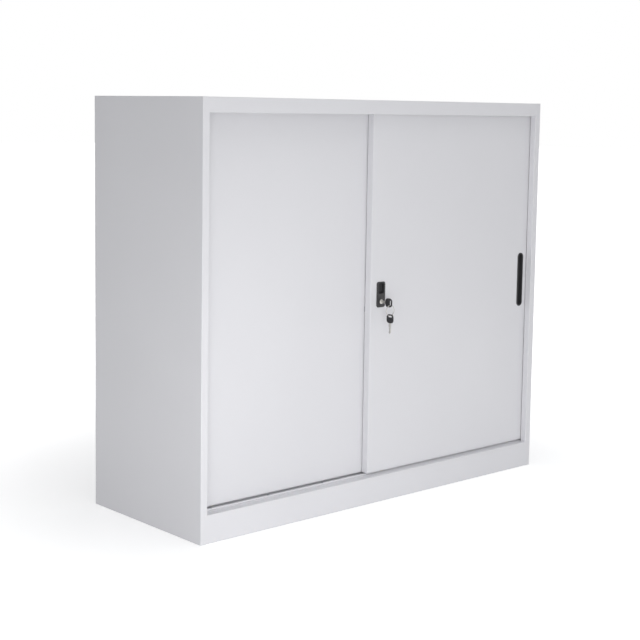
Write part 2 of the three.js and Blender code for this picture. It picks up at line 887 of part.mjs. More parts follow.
function keyBlade() {
  const half = bladeHeight / 2;
  const pitch = bladeLength * bittingPitchShare;
  const flat = pitch * bittingFlatShare;
  const firstY = bowStartY + bladeLength * bittingStartShare;
  const cuts = bittingShares.flatMap((share, i) => {
    const middle = firstY + i * pitch;
    const floor = bladeHeight * share - half;
    return [
      [middle - pitch / 2, -half],
      [middle - flat / 2, floor],
      [middle + flat / 2, floor],
    ];
  });
  const section = outline([
    [bowStartY, -half],
    ...cuts,
    [firstY + (bittingShares.length - 0.5) * pitch, -half],
    [keyTipY - half, -half],
    [keyTipY, 0],
    [keyTipY - half, half],
    [bowStartY, half],
  ]);
  return alongX(section, -bladeThickness / 2, bladeThickness / 2);
}

function buildCarcass() {
  place(cabinet, 'left_side_panel', sidePanel(-1), paint);
  place(cabinet, 'right_side_panel', sidePanel(1), paint);
  place(cabinet, 'back_panel', backPanel(), paint);
  place(cabinet, 'top_panel', topPanel(), paint);
  place(cabinet, 'front_plinth', frontPlinth(), paint);
  place(cabinet, 'floor_panel', floorPanel(), paint, 0, floorFrontY, plinthHeight);
  place(cabinet, 'top_track', topTrack(), paint);
  place(cabinet, 'bottom_track', bottomTrack(), paint, 0, 0, plinthHeight);
  const sides = { left: -1, right: 1 };
  const uprightPlaces = { front: frontUprightY, rear: rearUprightY };
  const shelfRises = { lower: lowerShelfRise, upper: upperShelfRise };
  for (const [sideName, side] of Object.entries(sides)) {
    place(cabinet, `${sideName}_lower_buffer`, doorBuffer(side), rubber, 0, 0, doorBottomZ + bufferInset);
    place(cabinet, `${sideName}_upper_buffer`, doorBuffer(side), rubber, 0, 0, doorTopZ - bufferInset);
    for (const [rowName, y] of Object.entries(uprightPlaces)) {
      place(cabinet, `${rowName}_${sideName}_upright`, upright(side), paint, 0, y, plinthHeight);
      for (const [levelName, rise] of Object.entries(shelfRises)) {
        const name = `${levelName}_${rowName}_${sideName}_clip`;
        const z = plinthHeight + nearestSlot(rise) + clipNeckDrop;
        place(cabinet, name, shelfClip(side), zinc, side * uprightX, y, z);
      }
    }
  }
  for (const [levelName, rise] of Object.entries(shelfRises)) {
    const z = plinthHeight + nearestSlot(rise) + clipNeckDrop + shelfEdge;
    place(cabinet, `${levelName}_shelf`, shelf(), paint, 0, floorFrontY + shelfFrontGap, z);
  }
}

function fitDoor(door, name, extraCuts) {
  place(door, `${name}_door_pan`, doorPan(extraCuts), paint);
  place(door, `${name}_door_stiffener`, doorStiffener(), paint);
  const ends = { outer: name === 'left' ? -rollerX : rollerX, inner: name === 'left' ? rollerX : -rollerX };
  for (const [endName, x] of Object.entries(ends)) {
    const prefix = `${name}_door_${endName}`;
    place(door, `${prefix}_bracket`, rollerBracket(), zinc, x, rollerY, rollerZ);
    place(door, `${prefix}_axle`, rollerAxle(), zinc, x, rollerY, rollerZ);
    place(door, `${prefix}_roller`, roller(), nylon, x, rollerY, rollerZ);
    place(door, `${prefix}_guide`, topGuide(), nylon, x, rollerY, doorHeight);
  }
}

function fitLock(lock) {
  place(lock, 'lock_housing', lockHousing(), blackPlastic);
  place(lock, 'lock_barrel', lockBarrel(), blackZinc);
  place(lock, 'lock_nut', lockNut(), zinc);
  place(lock, 'lock_plug', lockPlug(), nickel);
  place(lock, 'lock_cam', lockCam(), zinc);
  place(lock, 'cam_screw', camScrew(), zinc);
}

// The wire hangs low in the first bow's slot, and the spare hangs from the ring's lowest point
const firstSag = bowSlotLength / 2 - ringWireRadius - ringSlack;
const spareSag = bowSlotWidth / 2 - ringWireRadius - fitGap;
const keyY = plugFaceY + bladeInsertion - keyTipY;

function fitKeys(lock) {
  place(lock, 'key_blade', keyBlade(), nickel, 0, keyY, 0);
  place(lock, 'key_bow', keyBow(), blackPlastic, 0, keyY, 0);
  const ring = new THREE.TorusGeometry(ringRadius, ringWireRadius, wireSteps, ringSteps);
  place(lock, 'key_ring', ring.applyMatrix4(drawnXZ), nickel, 0, keyY, -firstSag - ringRadius);
  const spareZ = -firstSag - 2 * ringRadius - spareSag;
  place(lock, 'spare_key_blade', keyBlade().applyMatrix4(frontFacesUp), nickel, 0, keyY, spareZ);
  place(lock, 'spare_key_bow', keyBow().applyMatrix4(frontFacesUp), blackPlastic, 0, keyY, spareZ);
}

buildCarcass();

const leftDoor = groupAt(cabinet, -doorX, rearDoorY, doorBottomZ);
fitDoor(leftDoor, 'left', []);

const rightDoor = groupAt(cabinet, doorX, frontDoorY, doorBottomZ);
fitDoor(rightDoor, 'right', [handleCut(), lockCut()]);
place(rightDoor, 'flush_handle', flushHandle(), blackPlastic, handleX, 0, handZ);

const lock = groupAt(rightDoor, lockX, 0, lockZ);
fitLock(lock);
fitKeys(lock);

const keeperX = 2 * doorX + lockX - camHub - keeperCamGap;
place(leftDoor, 'keeper', keeper(), zinc, keeperX, 0, lockZ - keeperDrop);

const keyReach = frontY - (frontDoorY + keyY - bowHeight / 2);
cabinet.position.y = keyReach / 2;

export default cabinet;
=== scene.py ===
"""The looks of a two-door sliding cabinet: finishes, smooth moulded and turned pieces, light and camera."""

import json
import math

import bmesh
import bpy
from mathutils import Matrix, Vector


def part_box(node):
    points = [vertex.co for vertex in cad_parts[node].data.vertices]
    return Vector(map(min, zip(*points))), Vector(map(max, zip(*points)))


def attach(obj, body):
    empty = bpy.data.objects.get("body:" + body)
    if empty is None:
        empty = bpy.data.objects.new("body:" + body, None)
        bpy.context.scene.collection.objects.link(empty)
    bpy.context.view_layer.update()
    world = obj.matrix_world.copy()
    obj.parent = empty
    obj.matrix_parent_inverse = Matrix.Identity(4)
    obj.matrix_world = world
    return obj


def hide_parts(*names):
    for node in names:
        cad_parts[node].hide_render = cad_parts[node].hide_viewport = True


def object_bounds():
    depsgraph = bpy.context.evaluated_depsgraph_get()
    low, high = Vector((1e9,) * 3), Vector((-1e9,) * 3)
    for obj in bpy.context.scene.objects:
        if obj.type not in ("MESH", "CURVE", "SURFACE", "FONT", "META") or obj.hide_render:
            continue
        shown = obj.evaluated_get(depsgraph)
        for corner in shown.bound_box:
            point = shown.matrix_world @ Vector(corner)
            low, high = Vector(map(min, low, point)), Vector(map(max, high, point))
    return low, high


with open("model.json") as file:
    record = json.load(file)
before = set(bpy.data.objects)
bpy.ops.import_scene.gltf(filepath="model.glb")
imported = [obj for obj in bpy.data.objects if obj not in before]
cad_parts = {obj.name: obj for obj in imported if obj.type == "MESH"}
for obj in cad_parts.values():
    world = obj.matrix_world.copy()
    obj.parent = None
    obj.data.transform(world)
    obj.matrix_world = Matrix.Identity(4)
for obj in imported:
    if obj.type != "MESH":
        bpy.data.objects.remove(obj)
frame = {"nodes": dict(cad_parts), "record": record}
cad_low, cad_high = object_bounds()
nodes = frame["nodes"]
scene = bpy.context.scene

MM = 0.001
QUARTER = math.pi / 2
FULL_TURN = 2 * math.pi

# Where the photo was taken from, in the object's frame: solved from six corners of the case
CAMERA_PLACE = (-2.5008, -2.7280, 1.0248)
CAMERA_YAW = 41.977
CAMERA_PITCH = -6.249
CAMERA_ROLL = 0.877
FOCAL_PIXELS = 1376.5
PHOTO_PIXELS = 640
CENTRE_DOWN = 260
SENSOR_WIDTH = 36
CLIP_START = 0.1
CLIP_END = 100


def photo_camera():
    yaw, pitch, roll = (math.radians(a) for a in (CAMERA_YAW, CAMERA_PITCH, CAMERA_ROLL))
    ahead = Vector((math.sin(yaw) * math.cos(pitch), math.cos(yaw) * math.cos(pitch), math.sin(pitch)))
    level = Vector((math.cos(yaw), -math.sin(yaw), 0))
    above = level.cross(ahead)
    right = level * math.cos(roll) + above * math.sin(roll)
    up = above * math.cos(roll) - level * math.sin(roll)
    data = bpy.data.cameras.new("photo_camera")
    data.sensor_width = SENSOR_WIDTH
    data.lens = FOCAL_PIXELS * SENSOR_WIDTH / PHOTO_PIXELS
    data.shift_y = (CENTRE_DOWN - PHOTO_PIXELS / 2) / PHOTO_PIXELS
    data.clip_start = CLIP_START
    data.clip_end = CLIP_END
    camera = bpy.data.objects.new("photo_camera", data)
    turn = Matrix((right, up, -ahead)).transposed().to_4x4()
    camera.matrix_world = Matrix.Translation(CAMERA_PLACE) @ turn
    scene.collection.objects.link(camera)
    scene.camera = camera


# Materials

# The middle of a noise's range, in which most of its values lie
NOISE_LOW = 0.3
NOISE_HIGH = 0.7

EDGE_SAMPLES = 4


class Finish:
    """A shader and its node tree, so that each material reads as a list of its layers."""

    def __init__(self, name, colour, roughness, edge, metallic=0.0):
        self.colour = colour
        self.material = bpy.data.materials.new(name)
        self.material.use_nodes = True
        self.tree = self.material.node_tree
        self.shader = self.tree.nodes["Principled BSDF"]
        self.shader.inputs["Base Color"].default_value = (*colour, 1)
        self.shader.inputs["Roughness"].default_value = roughness
        self.shader.inputs["Metallic"].default_value = metallic
        self.where = self.tree.nodes.new("ShaderNodeTexCoord").outputs["Object"]
        self.soften_edges(edge)

    def link(self, out, into):
        self.tree.links.new(out, into)

    def use_normal(self, out):
        self.normal = out
        self.link(out, self.shader.inputs["Normal"])

    def soften_edges(self, radius):
        bevel = self.tree.nodes.new("ShaderNodeBevel")
        bevel.samples = EDGE_SAMPLES
        bevel.inputs["Radius"].default_value = radius
        self.use_normal(bevel.outputs["Normal"])

    def noise(self, scale, detail):
        noise = self.tree.nodes.new("ShaderNodeTexNoise")
        noise.inputs["Scale"].default_value = scale
        noise.inputs["Detail"].default_value = detail
        self.link(self.where, noise.inputs["Vector"])
        return noise.outputs["Fac"]

    def tint(self, value, dark, light):
        """Varies the colour between two shares of itself."""
        ramp = self.tree.nodes.new("ShaderNodeValToRGB")
        first, last = ramp.color_ramp.elements
        first.position = NOISE_LOW
        last.position = NOISE_HIGH
        first.color = (*shade(self.colour, dark), 1)
        last.color = (*shade(self.colour, light), 1)
        self.link(value, ramp.inputs["Fac"])
        self.link(ramp.outputs["Color"], self.shader.inputs["Base Color"])

    def roughen(self, value, low, high):
        ranged = self.tree.nodes.new("ShaderNodeMapRange")
        ranged.inputs["From Min"].default_value = NOISE_LOW
        ranged.inputs["From Max"].default_value = NOISE_HIGH
        ranged.inputs["To Min"].default_value = low
        ranged.inputs["To Max"].default_value = high
        self.link(value, ranged.inputs["Value"])
        self.link(ranged.outputs["Result"], self.shader.inputs["Roughness"])

    def bump(self, value, depth, strength):
        bump = self.tree.nodes.new("ShaderNodeBump")
        bump.inputs["Strength"].default_value = strength
        bump.inputs["Distance"].default_value = depth
        self.link(value, bump.inputs["Height"])
        self.link(self.normal, bump.inputs["Normal"])
        self.use_normal(bump.outputs["Normal"])


def shade(colour, share):
    return tuple(min(1.0, c * share) for c in colour)


def powder_coat(name, colour):
    """Baked powder: a satin skin with a faint orange peel and a slightly uneven flow."""
    finish = Finish(name, colour, roughness=0.42, edge=0.7 * MM)
    finish.tint(finish.noise(scale=2.3, detail=2), dark=0.985, light=1.012)
    finish.roughen(finish.noise(scale=7, detail=4), low=0.38, high=0.46)
    finish.bump(finish.noise(scale=420, detail=2), depth=0.02 * MM, strength=0.5)
    finish.bump(finish.noise(scale=1500, detail=1), depth=0.006 * MM, strength=0.4)
    return finish.material


def plated(name, colour, roughness, grain):
    """Plated or drawn metal with a fine grain and patches of duller handling."""
    finish = Finish(name, colour, roughness, edge=0.25 * MM, metallic=1.0)
    finish.tint(finish.noise(scale=60, detail=5), dark=0.86, light=1.06)
    finish.roughen(finish.noise(scale=180, detail=4), low=roughness - 0.07, high=roughness + 0.1)
    finish.bump(finish.noise(scale=grain, detail=3), depth=0.008 * MM, strength=0.5)
    return finish.material


def pebbled(name, colour, roughness, pebble, depth):
    """Moulded plastic or rubber with a spark-eroded texture, or the thick coat on a casting."""
    finish = Finish(name, colour, roughness, edge=0.3 * MM)
    finish.tint(finish.noise(scale=40, detail=4), dark=0.8, light=1.25)
    finish.roughen(finish.noise(scale=160, detail=3), low=roughness - 0.06, high=roughness + 0.08)
    finish.bump(finish.noise(scale=pebble, detail=2), depth=depth, strength=0.6)
    return finish.material


PAINT = (0.742, 0.740, 0.765)
ZINC = (0.42, 0.44, 0.47)
NICKEL = (0.5, 0.49, 0.47)
BLACK = (0.016, 0.016, 0.018)
NYLON = (0.74, 0.72, 0.66)
RUBBER = (0.02, 0.02, 0.022)

BY_SLOT = {
    "powder_coat": powder_coat("powder_coat", PAINT),
    "zinc": plated("zinc_plate", ZINC, roughness=0.42, grain=700),
    "nickel": plated("nickel_plate", NICKEL, roughness=0.36, grain=1600),
    "black_zinc": pebbled("black_coated_zinc", BLACK, roughness=0.36, pebble=1600, depth=0.008 * MM),
    "black_plastic": pebbled("black_plastic", BLACK, roughness=0.5, pebble=1100, depth=0.03 * MM),
    "nylon": pebbled("natural_nylon", NYLON, roughness=0.42, pebble=600, depth=0.01 * MM),
    "rubber": pebbled("black_rubber", RUBBER, roughness=0.78, pebble=500, depth=0.03 * MM),
}


def dress(piece, slot):
    piece.data.materials.clear()
    piece.data.materials.append(BY_SLOT[slot])


def dress_frame():
    for entry in frame["record"]["subparts"]:
        dress(nodes[entry["node"]], entry["material_slot"])


# Mesh helpers

CORNER_STEPS = 8
TURN_STEPS = 64

# An edge that turns by more degrees than this is rounded, or stays sharp in smooth shading
SOFTENED_ANGLE = 32
SHARP_ANGLE = 35

# How far a cutter runs past the face that it cuts, and how near to it a flare starts
OVERRUN = 1 * MM
TOUCH = 0.01 * MM


def new_object(name, mesh):
    """An object from a bmesh, which is freed."""
    data = bpy.data.meshes.new(name)
    mesh.to_mesh(data)
    mesh.free()
    made = bpy.data.objects.new(name, data)
    scene.collection.objects.link(made)
    return made


def loft(name, rings, closed=False):
    """A skin over rings of equally many points; the end rings are capped unless it closes on itself."""
    mesh = bmesh.new()
    rows = [[mesh.verts.new(point) for point in ring] for ring in rings]
    count = len(rows[0])
    pairs = list(zip(rows, rows[1:])) + ([(rows[-1], rows[0])] if closed else [])
    for near, far in pairs:
        for i in range(count):
            j = (i + 1) % count
            mesh.faces.new((near[i], near[j], far[j], far[i]))
    if not closed:
        mesh.faces.new(reversed(rows[0]))
        mesh.faces.new(rows[-1])
    bmesh.ops.recalc_face_normals(mesh, faces=mesh.faces)
    return new_object(name, mesh)


def arc(x, z, radius, start, sweep, steps):
    angles = [start + sweep * i / steps for i in range(steps + 1)]
    return [(x + radius * math.cos(angle), z + radius * math.sin(angle)) for angle in angles]


def circle(x, z, radius, steps):
    return arc(x, z, radius, 0, FULL_TURN, steps)[:-1]


def rounded_outline(left, right, low, high, radius, steps):
    corners = [
        (right - radius, high - radius),
        (left + radius, high - radius),
        (left + radius, low + radius),
        (right - radius, low + radius),
    ]
    outline = []
    for i, (x, z) in enumerate(corners):
        outline += arc(x, z, radius, i * QUARTER, QUARTER, steps)
    return outline


def rectangle(x, z, half_wide, half_high):
    return [
        (x + half_wide, z + half_high),
        (x - half_wide, z + half_high),
        (x - half_wide, z - half_high),
        (x + half_wide, z - half_high),
    ]


def ring_y(outline, y):
    return [Vector((x, y, z)) for x, z in outline]


def ring_z(outline, z):
    return [Vector((x, y, z)) for x, y in outline]


def stations(rounding, across, along):
    """A rounding, given as pairs of millimetres, at its place on a profile."""
    return [(across + a * MM, along + b * MM) for a, b in rounding]


def inset_rings(left, right, low, high, radius, profile, steps=CORNER_STEPS):
    """Rings of one rounded outline, each drawn in by so much at its own depth."""
    return [
        ring_y(rounded_outline(left + d, right - d, low + d, high - d, radius - d, steps), y)
        for d, y in profile
    ]


def turned(name, x, z, profile, steps=TURN_STEPS, closed=False):
    """A turned piece on an axis along Y, from pairs of radius and depth."""
    return loft(name, [ring_y(circle(x, z, radius, steps), y) for radius, y in profile], closed)


def settle(piece):
    """Turns a piece's modifiers into its mesh."""
    graph = bpy.context.evaluated_depsgraph_get()
    data = bpy.data.meshes.new_from_object(piece.evaluated_get(graph))
    piece.modifiers.clear()
    piece.data = data


def combine(piece, operation, others):
    """Joins other pieces to one, or cuts them from it, and deletes them."""
    for other in others:
        boolean = piece.modifiers.new("boolean", "BOOLEAN")
        boolean.operation = operation
        boolean.solver = "EXACT"
        boolean.object = other
    settle(piece)
    for other in others:
        bpy.data.objects.remove(other)


def carve(piece, *cutters):
    combine(piece, "DIFFERENCE", cutters)


def join(piece, *others):
    combine(piece, "UNION", others)


def soften(piece, width, segments):
    bevel = piece.modifiers.new("soften", "BEVEL")
    bevel.width = width
    bevel.segments = segments
    bevel.limit_method = "ANGLE"
    bevel.angle_limit = math.radians(SOFTENED_ANGLE)
    settle(piece)


def finished(piece, body, slot, *replaced, smooth=SHARP_ANGLE):
    """Shades and dresses a piece and sets it on its body, in place of the CAD nodes it replaces."""
    for face in piece.data.polygons:
        face.use_smooth = True
    piece.data.set_sharp_from_angle(angle=math.radians(smooth))
    dress(piece, slot)
    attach(piece, body)
    if replaced:
        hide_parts(*replaced)


# Flush pull: its plate, the rim outside the cut in the door, and the wall of its pocket
PULL_PLATE = 1.5 * MM
PULL_RIM = 1.75 * MM
PULL_WALL = 1.5 * MM
PULL_STEPS = 14

# Its roundings, in millimetres inwards and back: outer edge, mouth of the pocket, pocket floor
PULL_EDGE = ((0, 0.9), (0.25, 0.35), (0.8, 0))
PULL_MOUTH = ((-1.0, 0), (-0.3, 0.3), (0, 1.0))
PULL_FLOOR = ((0.5, -1.6), (1.1, -0.4), (2.4, 0))


def flush_pull():
    low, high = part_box("flush_handle")
    face, back = low.y, high.y
    pocket = PULL_RIM + PULL_WALL
    profile = [
        (PULL_RIM, back),
        (PULL_RIM, face + PULL_PLATE),
        (0, face + PULL_PLATE),
        *stations(PULL_EDGE, 0, face),
        *stations(PULL_MOUTH, pocket, face),
        *stations(PULL_FLOOR, pocket, back - PULL_WALL),
    ]
    radius = (high.x - low.x) / 2
    rings = inset_rings(low.x, high.x, low.z, high.z, radius, profile, PULL_STEPS)
    finished(loft("pull_shell", rings), "right_door", "black_plastic", "flush_handle")


# Lock housing: its plate, the body behind it, and how high over its lower end the lock's axis is
LOCK_PLATE = 2.5 * MM
LOCK_CORNER = 6 * MM
LOCK_EDGE = ((0, 1.1), (0.3, 0.45), (0.8, 0.1), (1.5, 0))
LOCK_BODY_INSET = 2.5 * MM
LOCK_AXIS_RISE = 15 * MM
LOCK_BORE = 8.4 * MM

# Finger recess over the lock, with a flared mouth and a rounded floor
RECESS_WIDTH = 20 * MM
RECESS_LENGTH = 27 * MM
RECESS_MARGIN = 4 * MM
RECESS_CORNER = 5 * MM
RECESS_FLARE = 0.6 * MM
RECESS_WALL = 2 * MM
RECESS_FLOOR = ((0.5, -1.4), (1.2, -0.4), (2.6, 0))


def lock_axis():
    low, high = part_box("lock_housing")
    return (low.x + high.x) / 2, low.z + LOCK_AXIS_RISE


def recess_cutter(middle, top, face, back):
    profile = [
        (-RECESS_FLARE, face - OVERRUN),
        (-RECESS_FLARE, face - TOUCH),
        (0, face + RECESS_FLARE),
        *stations(RECESS_FLOOR, 0, back - RECESS_WALL),
    ]
    left, right = middle - RECESS_WIDTH / 2, middle + RECESS_WIDTH / 2
    return loft("recess_cutter", inset_rings(left, right, top - RECESS_LENGTH, top, RECESS_CORNER, profile))


def lock_housing():
    low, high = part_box("lock_housing")
    face, back = low.y, high.y
    x, z = lock_axis()
    profile = [
        (LOCK_BODY_INSET, back),
        (LOCK_BODY_INSET, face + LOCK_PLATE),
        (0, face + LOCK_PLATE),
        *stations(LOCK_EDGE, 0, face),
    ]
    shell = loft("lock_shell", inset_rings(low.x, high.x, low.z, high.z, LOCK_CORNER, profile))
    recess = recess_cutter(x, high.z - RECESS_MARGIN, face, back)
    bore = turned("bore_cutter", x, z, [(LOCK_BORE, face - OVERRUN), (LOCK_BORE, back + OVERRUN)])
    carve(shell, recess, bore)
    finished(shell, "right_door", "black_plastic", "lock_housing")


# Lock barrel and its bezel: radii, and roundings in millimetres outwards and back
BARREL_BORE = 6.3 * MM
BARREL_RADIUS = 8.25 * MM
BEZEL_RADIUS = 9.5 * MM
BEZEL_THICKNESS = 1 * MM
BEZEL_EDGE = ((0, 0.75), (-0.2, 0.4), (-0.7, 0.1), (-1.3, 0))
BEZEL_MOUTH = ((0.7, 0.05), (0.2, 0.15), (0, 0.4))


def lock_barrel():
    low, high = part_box("lock_barrel")
    face, end = low.y, high.y
    profile = [
        (BARREL_BORE, end),
        (BARREL_RADIUS, end),
        (BARREL_RADIUS, face + BEZEL_THICKNESS),
        (BEZEL_RADIUS, face + BEZEL_THICKNESS),
        *stations(BEZEL_EDGE, BEZEL_RADIUS, face),
        *stations(BEZEL_MOUTH, BARREL_BORE, face),
    ]
    barrel = turned("barrel_ring", *lock_axis(), profile, closed=True)
    finished(barrel, "right_door", "black_zinc", "lock_barrel")


# Key blade: the cuts' floors are shares of its height, and their places shares of its length
BLADE_LENGTH = 28 * MM
BLADE_HEIGHT = 7 * MM
BLADE_THICKNESS = 2 * MM
BITTING = (0.3, 0.16, 0.4, 0.24)
BITTING_START = 0.42
BITTING_PITCH = 0.12

# Half of a cut's flat floor, as a share of the pitch
HALF_FLAT = 0.15

# The groove milled into both sides of the blade: its ends from the head, its edges from the middle
GROOVE_ENDS = (0.4 * MM, 24 * MM)
GROOVE_EDGES = (0.5 * MM, 1.7 * MM)
GROOVE_DEPTH = 0.45 * MM

# The eased edges of a blade and of the ribs on a head
FINE_EDGE = 0.12 * MM
FINE_SEGMENTS = 2

# Lock plug: a turned face, a square tail, a keyway and the hole for the cam's screw
PLUG_RADIUS = 6 * MM
PLUG_EDGE = ((0, 0.5), (-0.15, 0.2), (-0.5, 0))
PLUG_GAP = 0.3 * MM
TAIL_HALF = 3 * MM
TAIL_ROOT = 3 * MM
SCREW_HOLE_RADIUS = 1.8 * MM
SCREW_HOLE_DEPTH = 4.4 * MM
SCREW_HOLE_STEPS = 24


def bar(name, x, z, half_wide, half_high, start, end):
    outline = rectangle(x, z, half_wide, half_high)
    return loft(name, [ring_y(outline, y) for y in (start, end)])


def lock_plug():
    low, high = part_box("lock_plug")
    face, end = low.y, high.y
    x, z = lock_axis()
    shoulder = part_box("lock_cam")[0].y - PLUG_GAP
    plug = turned("plug_face", x, z, [(PLUG_RADIUS, shoulder), *stations(PLUG_EDGE, PLUG_RADIUS, face)])
    join(plug, bar("tail_square", x, z, TAIL_HALF, TAIL_HALF, shoulder - TAIL_ROOT, end))
    half_wide = BLADE_THICKNESS / 2 + PLUG_GAP
    half_high = BLADE_HEIGHT / 2 + PLUG_GAP
    key_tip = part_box("key_blade")[1].y
    keyway = bar("keyway_cutter", x, z, half_wide, half_high, face - OVERRUN, key_tip + PLUG_GAP)
    hole = [(SCREW_HOLE_RADIUS, end - SCREW_HOLE_DEPTH), (SCREW_HOLE_RADIUS, end + OVERRUN)]
    carve(plug, keyway, turned("screw_hole_cutter", x, z, hole, SCREW_HOLE_STEPS))
    finished(plug, "lock_cylinder", "nickel", "lock_plug")


# Key head, from the middle of its slot: how far it reaches back, and ahead to the blade
HEAD_BACK = 5.5 * MM
HEAD_AHEAD = 17.5 * MM
HEAD_HALF_HEIGHT = 11.5 * MM
HEAD_CORNER = 8 * MM
HEAD_STEPS = 12
HEAD_EDGE = 0.4 * MM
HEAD_SEGMENTS = 3
SLOT_HALF_WIDTH = 2.5 * MM
SLOT_HALF_HEIGHT = 7 * MM

# The dished field on both sides of a head
DISH_START = 4.2 * MM
DISH_MARGIN = 1.6 * MM
DISH_HALF_HEIGHT = 9 * MM
DISH_CORNER = 4.5 * MM
DISH_DEPTH = 0.4 * MM
FIELD_STEPS = 10

# The grip ribs in that field, and how far out from the key's middle they stand
RIBS = 5
RIB_START = 5.9 * MM
RIB_PITCH = 2.1 * MM
RIB_HALF_WIDTH = 0.45 * MM
RIB_HALF_HEIGHT = 6.5 * MM
RIB_CORNER = 0.44 * MM
RIB_STEPS = 4
RIB_THICKNESS = 0.5 * MM
RIB_OUT = 1.2 * MM


def slab(name, outline, centre, thickness, hanging):
    """A plate across X; its outline's tip is ahead, along +Y, or straight down when the key hangs."""
    rim = [centre + (Vector((0, -b, -a)) if hanging else Vector((0, a, b))) for a, b in outline]
    side = Vector((thickness / 2, 0, 0))
    return loft(name, [[p - side for p in rim], [p + side for p in rim]])


def face_cutters(name, outline, centre, out, depth, hanging):
    """Two slabs that cut so deep into the faces of a plate, which lie so far out from its middle."""
    return [
        slab(name, outline, centre + Vector((shift, 0, 0)), 2 * depth, hanging)
        for shift in (-out, out)
    ]


def blade_outline():
    half = BLADE_HEIGHT / 2
    pitch = BLADE_LENGTH * BITTING_PITCH
    flat = pitch * HALF_FLAT
    first = HEAD_AHEAD + BLADE_LENGTH * BITTING_START
    points = [(HEAD_AHEAD, -half)]
    for i, share in enumerate(BITTING):
        middle = first + i * pitch
        floor = BLADE_HEIGHT * share - half
        points += [(middle - pitch / 2, -half), (middle - flat, floor), (middle + flat, floor)]
    last = first + (len(BITTING) - 0.5) * pitch
    tip = HEAD_AHEAD + BLADE_LENGTH
    points += [(last, -half), (tip - half, -half), (tip, 0), (tip - half, half), (HEAD_AHEAD, half)]
    return points


def milled_blade(prefix, body, centre, hanging):
    blade = slab(f"{prefix}_milled_blade", blade_outline(), centre, BLADE_THICKNESS, hanging)
    start, end = (HEAD_AHEAD + reach for reach in GROOVE_ENDS)
    low, high = GROOVE_EDGES
    groove = [(start, low), (end, low), (end, high), (start, high)]
    carve(blade, *face_cutters("groove_cutter", groove, centre, BLADE_THICKNESS / 2, GROOVE_DEPTH, hanging))
    soften(blade, FINE_EDGE, FINE_SEGMENTS)
    finished(blade, body, "nickel", f"{prefix}_blade")


def head_outline():
    half = HEAD_HALF_HEIGHT
    return rounded_outline(-HEAD_BACK, HEAD_AHEAD, -half, half, HEAD_CORNER, HEAD_STEPS)


def slot_outline():
    wide, high = SLOT_HALF_WIDTH, SLOT_HALF_HEIGHT
    return rounded_outline(-wide, wide, -high, high, SLOT_HALF_WIDTH, FIELD_STEPS)


def dish_outline():
    half = DISH_HALF_HEIGHT
    return rounded_outline(DISH_START, HEAD_AHEAD - DISH_MARGIN, -half, half, DISH_CORNER, FIELD_STEPS)


def moulded_head(prefix, body, centre, thickness, hanging):
    head = slab(f"{prefix}_moulded_head", head_outline(), centre, thickness, hanging)
    slot = slab("slot_cutter", slot_outline(), centre, 2 * thickness, hanging)
    dishes = face_cutters("dish_cutter", dish_outline(), centre, thickness / 2, DISH_DEPTH, hanging)
    carve(head, slot, *dishes)
    soften(head, HEAD_EDGE, HEAD_SEGMENTS)
    finished(head, body, "black_plastic", f"{prefix}_bow")


def grip_rib(name, body, along, centre, hanging):
    left, right = along - RIB_HALF_WIDTH, along + RIB_HALF_WIDTH
    outline = rounded_outline(left, right, -RIB_HALF_HEIGHT, RIB_HALF_HEIGHT, RIB_CORNER, RIB_STEPS)
    rib = slab(name, outline, centre, RIB_THICKNESS, hanging)
    soften(rib, FINE_EDGE, FINE_SEGMENTS)
    finished(rib, body, "black_plastic")


def key(prefix, body, hanging=False):
    """One key: a milled blade in a moulded head with a raised rim, a slot and grip ribs."""
    low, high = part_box(f"{prefix}_bow")
    slot = (low + high) / 2
    if hanging:
        slot.z = high.z - HEAD_BACK
    else:
        slot.y = low.y + HEAD_BACK
    milled_blade(prefix, body, slot, hanging)
    moulded_head(prefix, body, slot, high.x - low.x, hanging)
    for side, out in (("left", -RIB_OUT), ("right", RIB_OUT)):
        for i in range(RIBS):
            centre = slot + Vector((out, 0, 0))
            grip_rib(f"{prefix}_grip_{side}_{i}", body, RIB_START + i * RIB_PITCH, centre, hanging)


# Split ring: its turns and where they start, in radians; the crossing in shares of the whole wire
RING_TURNS = 1.93
RING_START = 0.6
RING_STEPS = 180
CROSSING_START = 0.42
CROSSING_LENGTH = 0.16

# Half the wire's width and thickness, in shares of one turn's height, and how round it is, up to one
WIRE_SIDES = 12
WIRE_WIDTH = 0.8
WIRE_THICKNESS = 0.47
WIRE_ROUNDNESS = 0.7


def eased(share):
    """A smooth step from zero to one."""
    share = min(1, max(0, share))
    return share * share * (3 - 2 * share)


def squared(value):
    """Pushes a sine or cosine outwards, so that a circle becomes a rounded square."""
    return math.copysign(abs(value) ** WIRE_ROUNDNESS, value)


def split_ring():
    """Two close turns of flat wire with an easy step where the upper one crosses."""
    low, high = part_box("key_ring")
    centre = (low + high) / 2
    wire = (high.y - low.y) / 2
    radius = (high.x - low.x) / 2 - wire
    rings = []
    for i in range(RING_STEPS + 1):
        share = i / RING_STEPS
        angle = FULL_TURN * RING_TURNS * share + RING_START
        away = Vector((math.cos(angle), 0, math.sin(angle)))
        offset = (eased((share - CROSSING_START) / CROSSING_LENGTH) - 0.5) * wire
        ring = []
        for k in range(WIRE_SIDES):
            turn = FULL_TURN * k / WIRE_SIDES
            out = squared(math.cos(turn)) * wire * WIRE_WIDTH
            along = squared(math.sin(turn)) * wire * WIRE_THICKNESS
            ring.append(centre + away * (radius + out) + Vector((0, offset + along, 0)))
        rings.append(ring)
    finished(loft("split_ring", rings), "ring", "nickel", "key_ring", smooth=50)


# Rollers: the tread's depth, and half of the profile in millimetres outwards and along the axle
TREAD_DEPTH = 2 * MM

